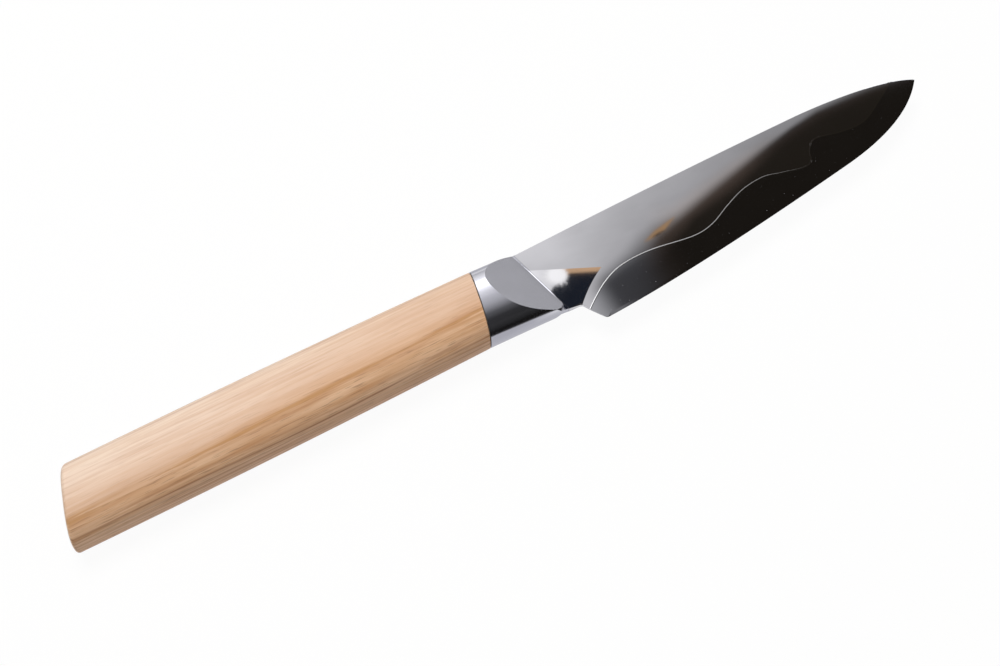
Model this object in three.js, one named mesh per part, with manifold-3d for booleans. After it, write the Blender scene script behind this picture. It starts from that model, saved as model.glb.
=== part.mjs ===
// A small slicing knife, lying on its side. Its blade is two steels brazed along a wave, its tang runs
// through a faceted steel bolster into a wooden handle, and glue fills the handle's slot.
// Millimetres. X runs from butt to tip, Y from edge to spine, Z up. X is zero where wood and bolster meet.
import * as THREE from "three";
import { mergeVertices } from "three/addons/utils/BufferGeometryUtils.js";
import Module from "manifold-3d";

// Handle: a soft oval, by its heights (along Y) and widths (along Z) at the butt, the belly and the joint
const handleLength = 115.7;
const buttHeight = 21.2;
const buttWidth = 17.4;
const bellyHeight = 21.25;
const bellyWidth = 17.5;
const jointHeight = 19.9;
const jointWidth = 16.3;
const ovalPower = 2.5;
const jointAngle = 11.2;
const buttAngle = 16.5;
const buttCrown = 0.7;
const buttRounding = 1.2;

// Bolster: its front meets the shoulder of the blade on a slanted line, and a flat facet rises from there
const shoulderAtSpine = 14.6;
const shoulderAtChin = 20.2;
const shoulderHeight = 9.45;
const shoulderRise = 0.15;
const facetAngle = 30;
const bolsterFrontDrop = 10.6;
const bolsterFrontWidth = 15.2;

// Blade outline, by distances along X from the joint and heights along Y from the handle's axis
const chinAlong = 23.7;
const chinDrop = 10.95;
const chinRounding = 0.6;
const heelAlong = 28;
const heelDrop = 17.55;
const heelRounding = 0.9;
const bladeLength = 111.3;
const tipHeight = 5.26;
const spineCrestToTip = 36;
const spineCrestHeight = 10.8;
const crestReach = 1.8;
const noseReach = 9.9;
const noseHeight = 10.1;
const heelEdgeAngle = 2;
const bellyToTip = 31.2;
const bellyDrop = 8.7;
const bellyAngle = 8.5;
const tipEdgeAngle = 50;

// Blade thickness: flat sides that thin from spine to edge and from heel to tip. At the chin a small facet
// leaves the neck thicker: it ends in a step at the plunge line and runs out on a line to the bolster.
const heelSpineThickness = 1.8;
const heelEdgeThickness = 0.32;
const tipSpineThickness = 0.75;
const plungeAlong = 33.9;
const plungeDrop = 4.2;
const neckFacetHeight = 3.9;
const chinRise = 0.48;
const edgeBevelHeight = 0.8;
const edgeLand = 0.04;

// The wave between the two steels, as shares: how far along the blade, how high between edge and spine
const seamWidth = 0.35;
const seamStart = 0.37;
const seamCrests = [
  [0.006, 0.242], [0.04, 0.324], [0.082, 0.386], [0.13, 0.403], [0.19, 0.379], [0.288, 0.285],
  [0.345, 0.294], [0.403, 0.387], [0.459, 0.461], [0.519, 0.469], [0.566, 0.395], [0.618, 0.309],
  [0.645, 0.319], [0.656, 0.442], [0.674, 0.548], [0.7, 0.564], [0.761, 0.466], [0.822, 0.426],
  [0.881, 0.595],
];
const seamEnd = 0.94;

// Tang, its slot in the wood and the glue round it
const tangLength = 72;
const tangRootHeight = 9;
const tangEndHeight = 5;
const tangThickness = 1.4;
const slotClearance = 1;
const slotSpareDepth = 4;
const glueFilm = 0.3;
const fitGap = 0.05;

// How finely the round forms are cut into flats, and how close two corners of a skin count as one
const ovalSides = 56;
const handleRings = 18;
const roundingRings = 4;
const crownRings = 4;
const bolsterRings = 8;
const seamSteps = 110;
const spineSteps = 36;
const noseSteps = 20;
const edgeSteps = 36;
const cornerSteps = 6; // even, so that a rounded corner has a middle point

const weldDistance = 1e-4;

const wasm = await Module();
wasm.setup();

const slope = (degrees) => Math.tan(THREE.MathUtils.degToRad(degrees));
const mix = THREE.MathUtils.lerp;
const plan = (x, y) => new THREE.Vector2(x, y);

// Solids and skins

function geometryFrom(triangles) {
  return new THREE.BufferGeometry().setFromPoints(triangles.flat());
}

function solidFrom(geometry) {
  const bare = geometry.index ? geometry.toNonIndexed() : geometry.clone();
  bare.deleteAttribute("normal");
  bare.deleteAttribute("uv");
  const merged = mergeVertices(bare, weldDistance);
  const vertProperties = new Float32Array(merged.attributes.position.array);
  const triVerts = new Uint32Array(merged.index.array);
  return new wasm.Manifold(new wasm.Mesh({ numProp: 3, vertProperties, triVerts }));
}

function geometryOf(solid) {
  const { vertProperties, triVerts } = solid.getMesh();
  const geometry = new THREE.BufferGeometry();
  geometry.setAttribute("position", new THREE.BufferAttribute(vertProperties, 3));
  geometry.setIndex(new THREE.BufferAttribute(triVerts, 1));
  return geometry;
}

// A skin over rings of equal count that follow each other along X, closed by a fan at either end
function loft(rings) {
  const triangles = [];
  const count = rings[0].length;
  for (let r = 0; r + 1 < rings.length; r += 1) {
    for (let i = 0; i < count; i += 1) {
      const next = (i + 1) % count;
      const [a, b] = [rings[r][i], rings[r][next]];
      const [c, d] = [rings[r + 1][next], rings[r + 1][i]];
      triangles.push([a, b, c], [a, c, d]);
    }
  }
  const middleOf = (ring) => ring.reduce((sum, p) => sum.add(p), new THREE.Vector3()).divideScalar(count);
  const [first, last] = [rings[0], rings.at(-1)];
  const [back, front] = [middleOf(first), middleOf(last)];
  for (let i = 0; i < count; i += 1) {
    const next = (i + 1) % count;
    triangles.push([back, first[next], first[i]], [front, last[i], last[next]]);
  }
  return geometryFrom(triangles);
}

// A plate that is the same above and below Z zero. Panels hold plan points that tile the outline.
function plate(panels, outline, halfThickness) {
  const at = (p, side) => new THREE.Vector3(p.x, p.y, side * halfThickness(p));
  const triangles = [];
  for (const panel of panels) {
    for (const corners of THREE.ShapeUtils.triangulateShape(panel, [])) {
      const [a, b, c] = corners.map((k) => panel[k]);
      const turned = b.clone().sub(a).cross(c.clone().sub(a)) < 0;
      const [p, q] = turned ? [c, b] : [b, c];
      triangles.push([at(a, 1), at(p, 1), at(q, 1)], [at(a, -1), at(q, -1), at(p, -1)]);
    }
  }
  outline.forEach((p, i) => {
    const q = outline[(i + 1) % outline.length];
    triangles.push([at(p, -1), at(q, -1), at(q, 1)], [at(p, -1), at(q, 1), at(p, 1)]);
  });
  return geometryFrom(triangles);
}

// Everything on the far side of a slanted sheet: from four corners of the sheet up, or down, past the knife
function blockBeyond(corners, shift) {
  const [low, high] = [corners, corners.map((p) => p.clone().add(shift))];
  const quad = (a, b, c, d) => [[a, b, c], [a, c, d]];
  const triangles = [...quad(low[3], low[2], low[1], low[0]), ...quad(high[0], high[1], high[2], high[3])];
  low.forEach((p, i) => {
    const next = (i + 1) % low.length;
    triangles.push(...quad(p, low[next], high[next], high[i]));
  });
  const solid = solidFrom(geometryFrom(triangles));
  return solid.volume() > 0 ? solid : solidFrom(geometryFrom(triangles.map(([a, b, c]) => [a, c, b])));
}

// Oval sections shared by handle, glue film and bolster

function ovalPoints(halfHeight, halfWidth) {
  const bulge = (value) => Math.sign(value) * Math.abs(value) ** (2 / ovalPower);
  return Array.from({ length: ovalSides }, (_, i) => {
    const angle = (2 * Math.PI * i) / ovalSides;
    return plan(halfHeight * bulge(Math.cos(angle)), halfWidth * bulge(Math.sin(angle)));
  });
}

// A smooth run through three values, at the butt, half way and at the joint
const through = (s, butt, belly, joint) =>
  butt * (1 - s) * (1 - 2 * s) + 4 * belly * s * (1 - s) + joint * s * (2 * s - 1);

const jointAt = (y) => slope(jointAngle) * y;

// Handle: barrelled block with a crowned, slanted butt

function handleBlock() {
  const rimAlong = -(handleLength - buttRounding - buttCrown);
  const rimAt = (y) => rimAlong + slope(buttAngle) * y;
  const ringOf = (s, inset, share, offset) => {
    const halfHeight = through(s, buttHeight, bellyHeight, jointHeight) / 2;
    const halfWidth = through(s, buttWidth, bellyWidth, jointWidth) / 2;
    return ovalPoints((halfHeight - inset) * share, (halfWidth - inset) * share).map(
      (p) => new THREE.Vector3(mix(rimAt(p.x) - offset, jointAt(p.x) - glueFilm, s), p.x, p.y),
    );
  };
  const crown = Array.from({ length: crownRings }, (_, k) => {
    const share = (k + 1) / (crownRings + 1);
    return ringOf(0, buttRounding, share, buttRounding + buttCrown * (1 - share ** 2));
  });
  const rounding = Array.from({ length: roundingRings }, (_, k) => {
    const turn = (Math.PI / 2) * (1 - k / roundingRings);
    return ringOf(0, buttRounding * (1 - Math.cos(turn)), 1, buttRounding * Math.sin(turn));
  });
  const length = Array.from({ length: handleRings + 1 }, (_, k) => ringOf(k / handleRings, 0, 1, 0));
  return loft([...crown, ...rounding, ...length]);
}

// Blade outline in plan

const tip = plan(heelAlong + bladeLength, tipHeight);
const heel = plan(heelAlong, -heelDrop);
const chin = plan(chinAlong, -chinDrop);
const shoulderTop = plan(shoulderAtSpine, shoulderHeight);
const shoulderFoot = plan(shoulderAtChin, -chinDrop);

// A curve that leaves one point and reaches another at set angles to the X axis
function curveBetween(from, fromAngle, to, toAngle) {
  const [rise, endRise] = [slope(fromAngle), slope(toAngle)];
  const along = (to.y - from.y + rise * from.x - endRise * to.x) / (rise - endRise);
  return new THREE.QuadraticBezierCurve(from, plan(along, from.y + rise * (along - from.x)), to);
}

// A rounded corner: the arc-like curve that cuts the corner at a set distance along both sides
function roundedCorner(before, corner, after, radius) {
  const leave = corner.clone().add(before.clone().sub(corner).setLength(radius));
  const meet = corner.clone().add(after.clone().sub(corner).setLength(radius));
  return new THREE.QuadraticBezierCurve(leave, corner, meet).getPoints(cornerSteps);
}

const crest = plan(tip.x - spineCrestToTip, spineCrestHeight);
const spineBack = new THREE.QuadraticBezierCurve(
  shoulderTop,
  plan((shoulderTop.x + crest.x) / 2, spineCrestHeight),
  crest,
);
const spineNose = new THREE.CubicBezierCurve(
  crest,
  plan(crest.x + crestReach, spineCrestHeight),
  plan(tip.x - noseReach, noseHeight),
  tip,
);
const bellyStart = plan(tip.x - bellyToTip, -bellyDrop);
const edgeRun = curveBetween(heel, heelEdgeAngle, bellyStart, bellyAngle);
const edgeBelly = curveBetween(bellyStart, bellyAngle, tip, tipEdgeAngle);

const spineLine = [...spineBack.getPoints(spineSteps), ...spineNose.getPoints(noseSteps).slice(1)];
const edgeLine = [...edgeRun.getPoints(edgeSteps), ...edgeBelly.getPoints(noseSteps).slice(1)];

// The height of a line that runs along X, at one place on it
function heightOn(line, x) {
  const k = Math.max(1, line.findIndex((p) => p.x >= x));
  const [a, b] = [line[k - 1], line[k]];
  return mix(a.y, b.y, (x - a.x) / (b.x - a.x));
}

// Flat sides: one plane through three thicknesses

const thinningDown = (heelSpineThickness - heelEdgeThickness) / 2 / (heightOn(spineLine, heel.x) + heelDrop);
const noseThinning = (heelSpineThickness - tipSpineThickness) / 2;
const noseDrop = thinningDown * (heightOn(spineLine, heel.x) - tip.y);
const thinningAlong = (noseThinning - noseDrop) / bladeLength;

function sideHeight(p) {
  const below = heightOn(spineLine, heel.x) - p.y;
  return heelSpineThickness / 2 - thinningDown * below - thinningAlong * (p.x - heel.x);
}

// The facet at the chin, between the plunge line, the bolster and the line on which it runs out

const leftOf = (p, from, to) => to.clone().sub(from).cross(p.clone().sub(from));
const chinCorner = roundedCorner(shoulderFoot, chin, heel, chinRounding);
const plungeFootIndex = cornerSteps / 2;
const plungeFoot = chinCorner[plungeFootIndex];
const plungeHead = plan(plungeAlong, -plungeDrop);
const runOut = shoulderTop
  .clone()
  .lerp(shoulderFoot, (shoulderHeight - neckFacetHeight) / (shoulderHeight + chinDrop));
const belowRunOut = (p) => leftOf(p, plungeHead, runOut) / plungeHead.distanceTo(runOut);

function neckHeight(p) {
  const onFacet = leftOf(p, plungeFoot, plungeHead) >= 0 && belowRunOut(p) > 0;
  return sideHeight(p) + (onFacet ? (chinRise * belowRunOut(p)) / belowRunOut(plungeFoot) : 0);
}

// The wave, from the back of the heel to the spine near the tip

const seamFrom = chin.clone().lerp(heel, seamStart);
const seamTo = plan(mix(heel.x, tip.x, seamEnd), heightOn(spineLine, mix(heel.x, tip.x, seamEnd)));
const seamMiddle = seamCrests.map(([along, up]) => {
  const x = mix(heel.x, tip.x, along);
  return plan(x, mix(heightOn(edgeLine, x), heightOn(spineLine, x), up));
});
const seamCurve = new THREE.SplineCurve([seamFrom, ...seamMiddle, seamTo]);

// The wave moved sideways, with its ends kept on the heel's back and on the spine
function seamBeside(distance) {
  const points = seamCurve.getPoints(seamSteps).map((p, i) => {
    const along = seamCurve.getTangent(i / seamSteps);
    return plan(p.x - along.y * distance, p.y + along.x * distance);
  });
  const heelBack = heel.clone().sub(chin).normalize();
  const start = points[0];
  points[0] = chin.clone().addScaledVector(heelBack, start.clone().sub(chin).dot(heelBack));
  const end = points.at(-1);
  points[points.length - 1] = plan(end.x, heightOn(spineLine, end.x));
  return points;
}

function tangOutline(clearance, extraLength) {
  const [root, end] = [tangRootHeight / 2 + clearance, tangEndHeight / 2 + clearance];
  const rootAlong = shoulderAtChin;
  const endAlong = -tangLength - extraLength;
  const shape = new THREE.Shape();
  shape.moveTo(rootAlong, -root);
  shape.lineTo(rootAlong, root);
  shape.lineTo(endAlong + end, end);
  shape.quadraticCurveTo(endAlong, end, endAlong, 0);
  shape.quadraticCurveTo(endAlong, -end, endAlong + end, -end);
  return shape;
}

function tangSlab(clearance, extraLength, thickness) {
  const slab = new THREE.ExtrudeGeometry(tangOutline(clearance, extraLength), {
    depth: thickness,
    bevelEnabled: false,
    curveSegments: cornerSteps,
  });
  return solidFrom(slab.translate(0, 0, -thickness / 2));
}

function bladeBody() {
  const seam = seamBeside(seamWidth / 2 + fitGap);
  const spine = spineLine.filter((p) => p.x > shoulderTop.x && p.x < seam.at(-1).x - fitGap).toReversed();
  const beforeStep = chinCorner.slice(0, plungeFootIndex + 1);
  const afterStep = chinCorner.slice(plungeFootIndex + 1);
  const neckFacet = [shoulderFoot, ...beforeStep, plungeHead, runOut];
  const step = [plungeFoot, afterStep[0], plungeHead];
  const side = [...afterStep, ...seam, ...spine, shoulderTop, runOut, plungeHead];
  const outline = [shoulderFoot, ...chinCorner, ...seam, ...spine, shoulderTop, runOut];
  const steel = solidFrom(plate([neckFacet, step, side], outline, neckHeight));
  return geometryOf(steel.add(tangSlab(0, 0, tangThickness)));
}

function brazeSeam() {
  const upper = seamBeside(seamWidth / 2);
  const lower = seamBeside(-seamWidth / 2);
  const panels = upper.slice(1).map((p, i) => [lower[i], lower[i + 1], p, upper[i]]);
  return plate(panels, [...lower, ...upper.toReversed()], sideHeight);
}

function cuttingEdge() {
  const seam = seamBeside(-seamWidth / 2 - fitGap);
  const seamTop = seam.at(-1);
  const spine = spineLine.filter((p) => p.x > seamTop.x + fitGap && p.x < tip.x);
  const heelCorner = roundedCorner(chin, heel, edgeLine[1], heelRounding);
  const edge = edgeLine.filter((p) => p.x > heelCorner.at(-1).x + fitGap && p.x < tip.x);
  const land = [heelCorner.at(-1), ...edge, tip];
  const isLand = new Set(land);
  // the bevel's upper line, square to the edge, runs out to nothing at the heel corner and the tip
  const shoulder = land.slice(1, -1).map((p, i) => {
    const along = land[i + 2].clone().sub(land[i]).normalize();
    return plan(p.x - along.y * edgeBevelHeight, p.y + along.x * edgeBevelHeight);
  });
  const upperLine = [land[0], ...shoulder, tip];
  const face = [...seam.toReversed(), ...heelCorner.slice(0, -1), ...upperLine, ...spine.toReversed()];
  const bevel = land.slice(1).map((p, i) => [land[i], p, upperLine[i + 1], upperLine[i]]);
  const panels = [face, ...bevel.map((corners) => [...new Set(corners)])];
  const outline = [...seam.toReversed(), ...heelCorner.slice(0, -1), ...land, ...spine.toReversed()];
  return plate(panels, outline, (p) => (isLand.has(p) ? edgeLand / 2 : sideHeight(p)));
}

// Bolster: the joint's oval carried forward, cut by a facet on each side and by the blade's shoulder

function bolsterCollar() {
  const frontAlong = shoulderAtChin + shoulderRise;
  const topFall = (jointHeight / 2 - shoulderHeight) / shoulderAtSpine;
  const footFall = (bolsterFrontDrop - jointHeight / 2) / shoulderAtChin;
  const rings = Array.from({ length: bolsterRings + 1 }, (_, k) => {
    const s = k / bolsterRings;
    const top = jointHeight / 2 - topFall * s * frontAlong;
    const foot = -jointHeight / 2 - footFall * s * frontAlong;
    const halfWidth = mix(jointWidth, bolsterFrontWidth, s) / 2;
    return ovalPoints((top - foot) / 2, halfWidth).map((p) => {
      const y = p.x + (top + foot) / 2;
      return new THREE.Vector3(mix(jointAt(y), frontAlong, s), y, p.y);
    });
  });
  return solidFrom(loft(rings));
}

function bolster() {
  const far = 60;
  const line = shoulderFoot.clone().sub(shoulderTop).normalize();
  const towardsHandle = plan(line.y, -line.x);
  const lineAt = (distance) => shoulderTop.clone().addScaledVector(line, distance);
  const rise = slope(facetAngle);
  const startHeight = (p) => neckHeight(p) + shoulderRise;
  const heightGain = startHeight(shoulderFoot) - startHeight(shoulderTop);
  const gainAlong = heightGain / shoulderFoot.distanceTo(shoulderTop);
  const facetPoint = (distance, back, side) => {
    const p = lineAt(distance).addScaledVector(towardsHandle, back);
    const z = startHeight(shoulderTop) + gainAlong * distance + rise * back;
    return new THREE.Vector3(p.x, p.y, side * z);
  };
  const corners = (side) => [
    facetPoint(-far, -far, side),
    facetPoint(far, -far, side),
    facetPoint(far, far, side),
    facetPoint(-far, far, side),
  ];
  const frontCorner = (distance, z) => {
    const p = lineAt(distance).addScaledVector(towardsHandle, fitGap);
    return new THREE.Vector3(p.x, p.y, z);
  };
  const front = [
    frontCorner(-far, -far),
    frontCorner(far, -far),
    frontCorner(far, far),
    frontCorner(-far, far),
  ];
  const away = new THREE.Vector3(-towardsHandle.x, -towardsHandle.y, 0).multiplyScalar(far);
  const collar = bolsterCollar()
    .subtract(blockBeyond(corners(1), new THREE.Vector3(0, 0, 2 * far)))
    .subtract(blockBeyond(corners(-1), new THREE.Vector3(0, 0, -2 * far)))
    .subtract(blockBeyond(front, away));
  return geometryOf(collar.subtract(tangSlab(fitGap, 0, tangThickness + 2 * fitGap)));
}

// Slot in the wood and the glue that fills it round the tang

const slotSolid = (inset) =>
  tangSlab(slotClearance - inset, slotSpareDepth - inset, tangThickness + 2 * (slotClearance - inset));

function woodHandle() {
  return geometryOf(solidFrom(handleBlock()).subtract(slotSolid(0)));
}

function handleAdhesive() {
  const filmAt = (back) =>
    ovalPoints(jointHeight / 2 - glueFilm, jointWidth / 2 - glueFilm).map(
      (p) => new THREE.Vector3(jointAt(p.x) - back, p.x, p.y),
    );
  const film = solidFrom(loft([filmAt(glueFilm - fitGap), filmAt(fitGap)]));
  const ahead = [[1, -1], [1, 1], [-1, 1], [-1, -1]].map(
    ([y, z]) => new THREE.Vector3(jointAt(y * jointHeight) - fitGap, y * jointHeight, z * jointWidth),
  );
  const beyondJoint = blockBeyond(ahead, new THREE.Vector3(2 * shoulderAtChin, 0, 0));
  const filling = slotSolid(fitGap).subtract(beyondJoint);
  return geometryOf(film.add(filling).subtract(tangSlab(fitGap, fitGap, tangThickness + 2 * fitGap)));
}

// Finishes

const polishedSteel = new THREE.MeshStandardMaterial({ color: 0xc3c3c6, roughness: 0.12, metalness: 1 });
const satinSteel = new THREE.MeshStandardMaterial({ color: 0x8f8f92, roughness: 0.38, metalness: 1 });
const brazeMetal = new THREE.MeshStandardMaterial({ color: 0xd9d6cf, roughness: 0.3, metalness: 1 });
const stainless = new THREE.MeshStandardMaterial({ color: 0xb4b4b8, roughness: 0.2, metalness: 1 });
const paleWood = new THREE.MeshStandardMaterial({ color: 0xd6b892, roughness: 0.6, metalness: 0 });
const darkGlue = new THREE.MeshStandardMaterial({ color: 0x4a4038, roughness: 0.5, metalness: 0 });

function piece(name, geometry, material) {
  const mesh = new THREE.Mesh(geometry, material);
  mesh.name = name;
  return mesh;
}

const knife = new THREE.Group();
knife.add(
  piece("blade_body", bladeBody(), polishedSteel),
  piece("cutting_edge", cuttingEdge(), satinSteel),
  piece("braze_seam", brazeSeam(), brazeMetal),
  piece("bolster", bolster(), stainless),
  piece("wood_handle", woodHandle(), paleWood),
  piece("handle_adhesive", handleAdhesive(), darkGlue),
);

// The knife's own frame: under the middle of its box, on the table that it lies on
const box = new THREE.Box3().setFromObject(knife);
const middle = box.getCenter(new THREE.Vector3());
knife.position.set(-middle.x, -middle.y, -box.min.z);

const lyingKnife = new THREE.Group();
lyingKnife.add(knife);

export default lyingKnife;
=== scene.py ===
import math

import bmesh
import bpy
import numpy as np
from mathutils import Matrix, Vector


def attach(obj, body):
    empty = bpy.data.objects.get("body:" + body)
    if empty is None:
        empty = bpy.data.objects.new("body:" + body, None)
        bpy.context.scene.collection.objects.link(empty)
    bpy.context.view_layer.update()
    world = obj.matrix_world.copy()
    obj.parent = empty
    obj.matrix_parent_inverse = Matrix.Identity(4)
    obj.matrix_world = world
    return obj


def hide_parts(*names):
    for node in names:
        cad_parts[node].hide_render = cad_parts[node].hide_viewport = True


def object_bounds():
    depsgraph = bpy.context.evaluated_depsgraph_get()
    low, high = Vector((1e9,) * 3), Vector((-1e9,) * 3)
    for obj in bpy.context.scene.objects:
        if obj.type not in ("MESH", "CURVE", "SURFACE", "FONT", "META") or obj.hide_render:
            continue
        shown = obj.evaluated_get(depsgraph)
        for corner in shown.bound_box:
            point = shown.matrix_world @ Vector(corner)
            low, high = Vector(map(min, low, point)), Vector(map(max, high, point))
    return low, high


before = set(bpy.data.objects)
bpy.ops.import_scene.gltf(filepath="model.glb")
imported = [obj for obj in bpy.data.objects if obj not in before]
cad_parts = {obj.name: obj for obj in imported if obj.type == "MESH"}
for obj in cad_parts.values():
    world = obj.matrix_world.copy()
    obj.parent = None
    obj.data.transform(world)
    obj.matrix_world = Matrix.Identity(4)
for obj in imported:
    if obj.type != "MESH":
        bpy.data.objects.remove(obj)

cadLow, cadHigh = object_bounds()
scene = bpy.context.scene
scene.view_settings.view_transform = "Standard"

# millimetres from the middle of the wood's joint with the bolster: x to the tip, y to the spine, z up
knife = dict(tipAlong=139.3, spineCrest=10.8)
origin = np.array([
    cadHigh.x * 1000 - knife["tipAlong"],
    cadHigh.y * 1000 - knife["spineCrest"],
    (cadLow.z + cadHigh.z) * 500,
])
weldReach = 1e-6   # metres


def toFrame(points):
    return (np.asarray(points, float) + origin) / 1000


def slope(degrees):
    return math.tan(math.radians(degrees))


def newObject(name, data):
    obj = bpy.data.objects.new(name, data)
    scene.collection.objects.link(obj)
    return obj


def newMesh(name, points, faces, material):
    mesh = bpy.data.meshes.new(name)
    mesh.from_pydata(np.asarray(points).tolist(), [], faces)
    mesh.materials.append(material)
    return mesh


# camera, solved from the outline of the knife
cameraSetup = dict(
    place=(-94.58, -179.53, 421.23), elevation=65, turn=29.27, roll=0.83,
    lens=64.8, sensor=36, clip=(0.01, 20))


def makeCamera(c):
    turn, elevation, roll = (math.radians(c[k]) for k in ("turn", "elevation", "roll"))
    level = Vector((math.cos(turn), -math.sin(turn), 0))
    away = Vector((math.sin(turn), math.cos(turn), 0))
    forward = away * math.cos(elevation) + Vector((0, 0, -math.sin(elevation)))
    upright = away * math.sin(elevation) + Vector((0, 0, math.cos(elevation)))
    right = level * math.cos(roll) + upright * math.sin(roll)
    up = upright * math.cos(roll) - level * math.sin(roll)
    lens = bpy.data.cameras.new("camera")
    lens.lens, lens.sensor_width = c["lens"], c["sensor"]
    lens.clip_start, lens.clip_end = c["clip"]
    facing = Matrix((right, up, -forward)).transposed().to_4x4()
    scene.camera = newObject("camera", lens)
    scene.camera.matrix_world = Matrix.Translation(toFrame(c["place"])) @ facing


makeCamera(cameraSetup)
print("camera set")


class Wire:
    # one socket of a shader or geometry tree, for sums written as Python
    def __init__(self, tree, socket=None):
        self.tree, self.socket = tree, socket

    def node(self, kind, settings=None, inputs=None, output=0):
        made = self.tree.nodes.new(kind)
        for key, value in (settings or {}).items():
            if key == "stops":
                setStops(made.color_ramp, value)
            else:
                setattr(made, key, value)
        for key, value in (inputs or {}).items():
            if isinstance(value, Wire):
                self.tree.links.new(value.socket, made.inputs[key])
            else:
                made.inputs[key].default_value = value
        return Wire(self.tree, made.outputs[output] if len(made.outputs) else None)

    def math(self, operation, a, b=0.0, clamp=False):
        return self.node("ShaderNodeMath", dict(operation=operation, use_clamp=clamp), {0: a, 1: b})

    def __add__(self, other):
        return self.math("ADD", self, other)

    __radd__ = __add__

    def __sub__(self, other):
        return self.math("SUBTRACT", self, other)

    def __rsub__(self, other):
        return self.math("SUBTRACT", other, self)

    def __mul__(self, other):
        return self.math("MULTIPLY", self, other)

    __rmul__ = __mul__

    def __truediv__(self, other):
        return self.math("DIVIDE", self, other)

    def __rtruediv__(self, other):
        return self.math("DIVIDE", other, self)

    def __pow__(self, other):
        return self.math("POWER", self, other)

    def apply(self, operation, other=0.0):
        return self.math(operation, self, other)

    def clamped(self):
        return self.math("ADD", self, 0.0, clamp=True)

    def smoothstep(self, low, high):
        return self.node("ShaderNodeMapRange", dict(interpolation_type="SMOOTHSTEP"),
                         {"Value": self, "From Min": low, "From Max": high})

    def ramp(self, stops):   # a value read off a line through given places
        low, high = stops[0][0], stops[-1][0]
        top = max(value for _, value in stops)
        spots = [((at - low) / (high - low), (value / top,) * 3 + (1.0,)) for at, value in stops]
        return self.node("ShaderNodeValToRGB", dict(stops=spots), {0: (self - low) / (high - low)}) * top

    def split(self):
        parts = self.node("ShaderNodeSeparateXYZ", None, {0: self}).socket.node
        return [Wire(self.tree, s) for s in parts.outputs]

    def join(self, x, y, z):
        return self.node("ShaderNodeCombineXYZ", None, {0: x, 1: y, 2: z})

    def noise(self, sizes, detail=2.0, roughness=0.5, fade=None):   # with a size of its own along each axis
        at = self.node("ShaderNodeVectorMath", dict(operation="DIVIDE"), {0: self, 1: sizes})
        made = self.node("ShaderNodeTexNoise", None, {
            "Vector": at, "Scale": 1.0, "Detail": detail, "Roughness": roughness})
        return made.smoothstep(*fade) if fade else made

    def blend(self, factor, a, b):   # colours
        return self.node("ShaderNodeMix", dict(data_type="RGBA"), {0: factor, 6: a, 7: b}, 2)

    def mix(self, factor, a, b):   # shaders
        return self.node("ShaderNodeMixShader", None, {0: factor, 1: a, 2: b})

    def glow(self, tone, strength=1.0):
        return self.node("ShaderNodeEmission", None, {"Color": tone, "Strength": strength})

    def show(self, shader):
        self.node("ShaderNodeOutputMaterial", None, {"Surface": shader})


def setStops(ramp, stops):
    while len(ramp.elements) < len(stops):
        ramp.elements.new(0.5)
    for element, (spot, tone) in zip(ramp.elements, stops):
        element.position, element.color = spot, tone


def colour(text):   # a written sRGB colour, as the linear values that nodes take
    parts = [int(text[i:i + 2], 16) / 255 for i in (0, 2, 4)]
    return tuple(p / 12.92 if p <= 0.04045 else ((p + 0.055) / 1.055) ** 2.4 for p in parts) + (1.0,)


white, black = colour("FFFFFF"), colour("000000")


def newMaterial(name):
    material = bpy.data.materials.new(name)
    material.use_nodes = True
    tree = material.node_tree
    tree.nodes.clear()
    return material, Wire(tree)


def finish(wire, surface):
    wire.show(wire.node("ShaderNodeBsdfPrincipled", None, surface))


def place(wire):   # the shaded point, in the knife's millimetres
    point = wire.node("ShaderNodeTexCoord", None, None, "Object")
    return wire.node("ShaderNodeVectorMath", dict(operation="MULTIPLY_ADD"),
                     {0: point, 1: (1000, 1000, 1000), 2: tuple(-origin)})


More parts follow.
